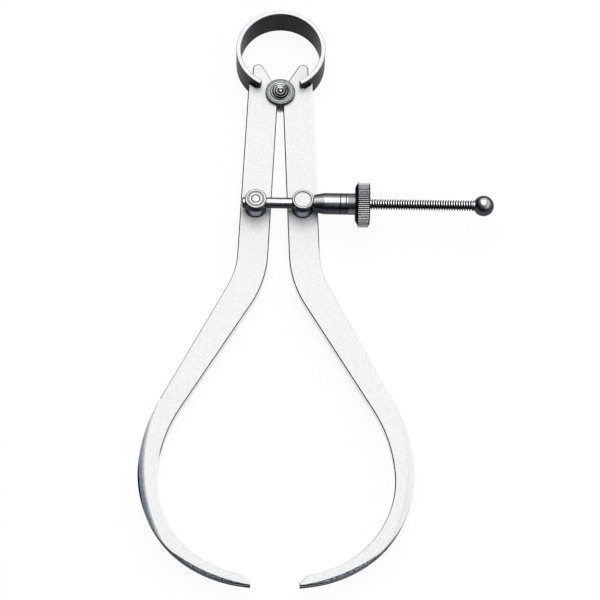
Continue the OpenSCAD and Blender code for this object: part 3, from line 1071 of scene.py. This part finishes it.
@dataclass
class AdjustingScrew:
    """The adjusting screw: a plain shank, a rolled thread and a ball end."""

    shank_d: float = 3.1 * MM
    shank_sides: int = 56
    shank_chamfer: float = 0.3 * MM
    sharp_turn: float = 60.0
    crest_d: float = 3.04 * MM
    root_d: float = 2.0 * MM
    pitch: float = 0.715 * MM
    base_share: float = 0.8
    crest_share: float = 0.3
    plain_l: float = 27.5 * MM
    ball_d: float = 5.9 * MM
    ball_cover: float = 1.6 * MM
    ball_sides: int = 48
    ball_rings: int = 32
    neck_l: float = 0.35 * MM
    steps: int = 28
    smooth_turn: float = 32.0
    # The colour of the painted highlight along the top of the screw and its ball.
    bright: Colour = (0.48, 0.48, 0.482)
    valley_r: Span = (1.1 * MM, 1.42 * MM)

    def build(self) -> None:
        """Makes the screw and dresses it."""
        low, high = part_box("adjusting_screw")
        axis = ((low.y + high.y) / 2, (low.z + high.z) / 2)
        ball_x = high.x - self.ball_d / 2
        piece = self.thread(low.x + self.plain_l, ball_x - self.ball_cover)
        self.join(piece, self.shank(low.x, low.x + self.plain_l))
        self.join(piece, self.ball(ball_x))
        with Bench.editing(piece):
            bpy.ops.mesh.select_all(action="SELECT")
            bpy.ops.transform.translate(value=(0, *axis))
            bpy.ops.mesh.fill_holes(sides=0)
        Bench.close(piece)
        Bench.smooth(piece, self.smooth_turn)
        finish = LatheSteel(
            name="screw_steel", axis=axis, bright=self.bright, valley_r=self.valley_r)
        finish.dress(piece)
        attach(piece, "screw")
        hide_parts("adjusting_screw")
        LOG.info("%s: %d faces", piece.name, len(piece.data.polygons))

    def thread(self, start: float, end: float) -> bpy.types.Object:
        """Sweeps one tooth's outline round the X axis, turn by turn.

        Args:
            start: X of the first turn.
            end: X that the last turn reaches.

        Returns:
            The threaded rod, closed at both ends.
        """
        tooth_w = self.pitch * self.base_share
        root_r, crest_r = self.root_d / 2, self.crest_d / 2
        middle = (start + tooth_w / 2, 0, (root_r + crest_r) / 2)
        bpy.ops.object.select_all(action="DESELECT")
        bpy.ops.mesh.primitive_plane_add(size=1, location=middle, rotation=(math.pi / 2, 0, 0))
        bpy.context.object.scale = (tooth_w, crest_r - root_r, 1)
        piece = Bench.named("threaded_screw")
        with Bench.editing(piece):
            Bench.select(piece, Element.EDGES,
                         lambda edge: all(v.co.z < root_r + TOUCH for v in edge.verts))
            bpy.ops.mesh.delete(type="EDGE")
            Bench.select(piece, Element.VERTS, lambda vert: vert.co.z > crest_r - TOUCH)
            bpy.ops.transform.resize(value=(self.crest_share / self.base_share, 1, 1))
            Bench.select(piece, Element.VERTS, lambda vert: vert.co.x > start + tooth_w - TOUCH)
            bpy.ops.mesh.extrude_region_move(
                TRANSFORM_OT_translate={"value": (self.pitch - tooth_w, 0, 0)})
        Bench.modify(
            piece, "SCREW", axis="X", screw_offset=self.pitch, steps=self.steps,
            render_steps=self.steps, iterations=int((end - start) / self.pitch),
            use_merge_vertices=True, merge_threshold=WELD, use_smooth_shade=False)
        with Bench.editing(piece):
            bpy.ops.mesh.select_all(action="SELECT")
            bpy.ops.mesh.remove_doubles(threshold=2 * WELD)
            bpy.ops.mesh.fill_holes(sides=0)
            bpy.ops.mesh.select_all(action="SELECT")
            bpy.ops.mesh.normals_make_consistent(inside=True)
        return piece

    def shank(self, start: float, end: float) -> bpy.types.Object:
        """Makes the plain shank, chamfered where the thread starts.

        Args:
            start: X of its first end.
            end: X where the thread starts.

        Returns:
            The shank, on the X axis.
        """
        bpy.ops.object.select_all(action="DESELECT")
        bpy.ops.mesh.primitive_cylinder_add(
            vertices=self.shank_sides, radius=self.shank_d / 2, depth=end - start + self.pitch,
            location=((start + end + self.pitch) / 2, 0, 0), rotation=(0, math.pi / 2, 0))
        piece = Bench.named("screw_shank")
        with Bench.editing(piece):
            bpy.ops.mesh.select_mode(type="EDGE")
            bpy.ops.mesh.edges_select_sharp(sharpness=math.radians(self.sharp_turn))
            bpy.ops.mesh.bevel(offset=self.shank_chamfer, segments=1, affect="EDGES")
        return piece

    def ball(self, centre: float) -> bpy.types.Object:
        """Makes the ball end, with a short neck drawn out of it.

        Args:
            centre: X of its centre.

        Returns:
            The ball, on the X axis.
        """
        bpy.ops.object.select_all(action="DESELECT")
        bpy.ops.mesh.primitive_uv_sphere_add(
            segments=self.ball_sides, ring_count=self.ball_rings, radius=self.ball_d / 2,
            location=(centre, 0, 0), rotation=(0, math.pi / 2, 0))
        piece = Bench.named("screw_ball")
        neck_x = centre - math.sqrt((self.ball_d / 2) ** 2 - (self.shank_d / 2) ** 2)
        with Bench.editing(piece):
            Bench.select(piece, Element.FACES,
                         lambda face: all(v.co.x < neck_x for v in face.verts))
            bpy.ops.mesh.extrude_region_move(
                TRANSFORM_OT_translate={"value": (-self.neck_l, 0, 0)})
        Bench.close(piece)
        return piece

    @staticmethod
    def join(piece: bpy.types.Object, other: bpy.types.Object) -> None:
        """Unites another solid with a piece and takes the other away."""
        Bench.modify(piece, "BOOLEAN", operation="UNION", solver="EXACT", object=other)
        bpy.data.objects.remove(other)


@dataclass
class TurnedParts:
    """The stud, the two posts, the sleeve and the nut, whose solids show as they are."""

    # The stud's sides are painted darker toward their flanks; its head keeps its own tones.
    stud_tones: dict[str, Colour] = field(default_factory=lambda: {
        "side": (0.04, 0.043, 0.04), "side_dark": (0.02, 0.021, 0.02),
        "head": (0.1, 0.11, 0.11), "head_dark": (0.04, 0.045, 0.045)})
    # Painted highlights on the stud head's ring crests and its centre.
    stud_rings: tuple[tuple[float, float], ...] = (
        (3.2 * MM, 0.16), (2.6 * MM, 1), (1.9 * MM, 1), (1.2 * MM, 1), (0.3 * MM, 1), (0.1 * MM, 1))
    # Height over the legs' back below which the stud is painted pale, a painted light in the shade
    # between the legs.
    stud_foot: float = 0.2 * MM
    # The posts' sides carry a bluish painted reflection in a band and a painted shade; their heads
    # take dark rings at the grooves.
    post_tones: dict[str, Colour] = field(default_factory=lambda: {
        "side": (0.42, 0.5, 0.58), "side_dark": (0.008, 0.009, 0.01),
        "head": (0.29, 0.29, 0.288), "head_dark": (0.17, 0.17, 0.17),
        "worn": (0.05, 0.051, 0.055)})
    post_ring_w: float = 0.16 * MM
    post_glow: Span = (0.7 * MM, 3.2 * MM)
    anchor_rings: tuple[tuple[float, float], ...] = ((2.3 * MM, 1), (1.95 * MM, 1))
    guide_rings: tuple[tuple[float, float], ...] = ((2.35 * MM, 1),)
    groove_backs: Span = (2.25 * MM, 0.7 * MM)

    def build(self) -> None:
        """Dresses all of them."""
        leg_low, leg_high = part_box("left_leg")
        self.upright(
            ("fulcrum_stud",), worn_rings=self.stud_rings, foot_z=leg_low.z + self.stud_foot,
            **self.stud_tones)
        post = {
            **self.post_tones,
            "ring_w": self.post_ring_w,
            "glow": tuple(leg_high.z + height for height in self.post_glow),
        }
        self.upright(("anchor_post", "screw_lock_pin", "anchor_washer"),
                     worn_rings=self.anchor_rings, **post)
        self.upright(("guide_post", "guide_washer"), worn_rings=self.guide_rings, **post)
        low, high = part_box("adjusting_nut")
        axis = ((low.y + high.y) / 2, (low.z + high.z) / 2)
        grooves = tuple(low.x - back for back in self.groove_backs)
        self.show(LatheSteel(name="sleeve_steel", axis=axis, grooves=grooves), ("nut_sleeve",))
        knurl = KnurlSteel(name="nut_steel", axis=axis, outer_r=(high.y - low.y) / 2)
        self.show(knurl, ("adjusting_nut",))

    def upright(self, names: tuple[str, ...], **settings: Any) -> None:
        """Dresses solids that were turned round one upright axis.

        Args:
            names: Their nodes, the one that gives the axis first.
            settings: What their finish is like.
        """
        low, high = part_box(names[0])
        axis = ((low.x + high.x) / 2, (low.y + high.y) / 2)
        self.show(TurnedSteel(name=f"{names[0]}_steel", axis=axis, **settings), names)

    @staticmethod
    def show(finish: Finish, names: tuple[str, ...]) -> None:
        """Puts a finish on solids and reports them.

        Args:
            finish: The finish.
            names: Their nodes.
        """
        for name in names:
            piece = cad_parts[name]
            finish.dress(piece)
            LOG.info("%s: %d faces", name, len(piece.data.polygons))


@dataclass
class Stage:
    """Camera, lamp, sky and floor."""

    tilt: float = 24.8676
    yaw: float = 0.8107
    roll: float = 0.8
    target: Triple = (-5.3833 * MM, -3.1214 * MM, 4.8 * MM)
    distance: float = 800 * MM
    focal_px: float = 2854.6
    image_px: float = 600.0
    sensor: float = 36.0
    clip_start: float = 10 * MM
    sky_way: Triple = (0.6, 0.5, 0.35)
    sky_rise: Span = (-0.25, 0.55)
    sky_top: Span = (0.7, 0.95)
    sky_top_dim: float = 0.6
    sky_dim: Colour = (0.02, 0.04, 0.07)
    sky_lit: Colour = (1.05, 1.05, 1.05)
    floor_r: float = 4.0
    floor_sides: int = 96
    floor_drop: float = 0.2 * MM
    floor_tone: float = 0.95
    floor_glow: float = 0.92
    lamp_way: Triple = (0, 0.27, 0.96)
    lamp_far: float = 0.85
    lamp_size: Span = (0.62, 0.86)
    lamp_radiance: float = 3.4

    def build(self) -> None:
        """Sets the whole stage up."""
        bpy.context.scene.view_settings.view_transform = "Standard"
        self.camera()
        self.sky()
        self.floor()
        self.lamp()

    def camera(self) -> None:
        """Places the camera at the picture's angle."""
        tilt, yaw, roll = (math.radians(angle) for angle in (self.tilt, self.yaw, self.roll))
        back = Vector((
            -math.sin(yaw), -math.sin(tilt) * math.cos(yaw), math.cos(tilt) * math.cos(yaw)))
        level = Vector((1, 0, 0))
        level = (level - back * level.dot(back)).normalized()
        rise = back.cross(level)
        right = level * math.cos(roll) + rise * math.sin(roll)
        up = rise * math.cos(roll) - level * math.sin(roll)
        turned = Matrix((right, up, back)).transposed().to_4x4()
        bpy.ops.object.camera_add()
        made = bpy.context.object
        made.name = "view_camera"
        made.data.sensor_width = self.sensor
        made.data.lens = self.sensor * self.focal_px / self.image_px
        made.data.clip_start = self.clip_start
        eye = Vector(self.target) + back * self.distance
        made.matrix_world = Matrix.Translation(eye) @ turned
        bpy.context.scene.camera = made

    def sky(self) -> None:
        """Makes a sky that is bright above, behind and to the right, and dim opposite."""
        world = bpy.data.worlds.new("studio_sky")
        world.use_nodes = True
        graph = Graph(world.node_tree)
        x, y, z = graph.parts(graph.node("ShaderNodeTexCoord", {}, {}).outputs["Generated"])
        to_x, to_y, to_z = self.sky_way
        lit = (x * to_x + y * to_y + z * to_z).smooth(*self.sky_rise)
        lit = lit * (1 - z.smooth(*self.sky_top) * self.sky_top_dim)
        tone = graph.mix(lit, self.sky_dim, self.sky_lit)
        glow = graph.node("ShaderNodeBackground", {}, {"Color": tone, "Strength": 1.0})
        graph.node("ShaderNodeOutputWorld", {}, {"Surface": glow.outputs[0]})
        bpy.context.scene.world = world

    def floor(self) -> None:
        """Makes a plain white floor that keeps a faint shadow."""
        bpy.ops.object.select_all(action="DESELECT")
        bpy.ops.mesh.primitive_circle_add(
            vertices=self.floor_sides, radius=self.floor_r, fill_type="NGON",
            location=(0, 0, -self.floor_drop))
        made = Bench.named("white_floor")
        paint = bpy.data.materials.new("floor_white")
        paint.use_nodes = True
        graph = Graph(paint.node_tree)
        path = graph.node("ShaderNodeLightPath", {}, {}).outputs
        seen = Value(graph, path["Is Camera Ray"]) + Value(graph, path["Is Glossy Ray"])
        seen = seen + Value(graph, path["Is Transmission Ray"])
        tone = (self.floor_tone, self.floor_tone, self.floor_tone, 1)
        matt = graph.node("ShaderNodeBsdfDiffuse", {}, {"Color": tone})
        white = graph.node("ShaderNodeEmission", {}, {"Color": (1, 1, 1, 1), "Strength": 1.0})
        both = graph.node(
            "ShaderNodeMixShader", {},
            {0: seen * self.floor_glow, 1: matt.outputs[0], 2: white.outputs[0]})
        graph.node("ShaderNodeOutputMaterial", {}, {"Surface": both.outputs[0]})
        made.data.materials.append(paint)

    def lamp(self) -> None:
        """Hangs a softbox over the caliper, facing it."""
        way = Vector(self.lamp_way).normalized()
        bpy.ops.object.light_add(type="AREA")
        made = bpy.context.object
        made.name = "overhead_softbox"
        made.data.shape = "RECTANGLE"
        made.data.size, made.data.size_y = self.lamp_size
        made.data.energy = self.lamp_radiance * math.pi * self.lamp_size[0] * self.lamp_size[1]
        turned = way.to_track_quat("Z", "Y").to_matrix().to_4x4()
        made.matrix_world = Matrix.Translation(way * self.lamp_far) @ turned


def main() -> None:
    """Builds the pieces in order, then the stage."""
    logging.basicConfig(level=logging.INFO, format="%(name)s: %(message)s")
    LegPair().build()
    BowSpring().build()
    AdjustingScrew().build()
    TurnedParts().build()
    Stage().build()


if __name__ == "__main__":
    main()
